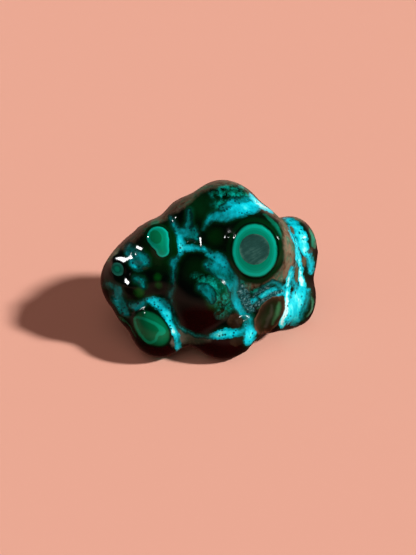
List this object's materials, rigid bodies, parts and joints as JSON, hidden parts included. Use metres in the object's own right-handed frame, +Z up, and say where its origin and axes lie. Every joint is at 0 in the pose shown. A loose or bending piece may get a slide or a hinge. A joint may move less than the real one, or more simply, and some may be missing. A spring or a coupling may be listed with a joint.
{
  "type": "malachite specimen",
  "caption": "Palm-size polished freeform of malachite and chrysocolla: rounded bulges, green eyes, turquoise veins, resting on worn flats.",
  "frame": {"origin": "middle of the stone's box, at the height of the worn flats that it rests on", "axes": "+X along the stone's length, to the viewer's right; +Y from the face with the great eye towards the back; +Z up"},
  "size_m": [0.0706, 0.0478, 0.047],
  "materials": {
    "malachite": "polished gloss, banded green eyes on near-black green, with turquoise veins and one frosted eye"
  },
  "bodies": {
    "root": {"malachite_stone": "malachite"}
  },
  "joints": []
}
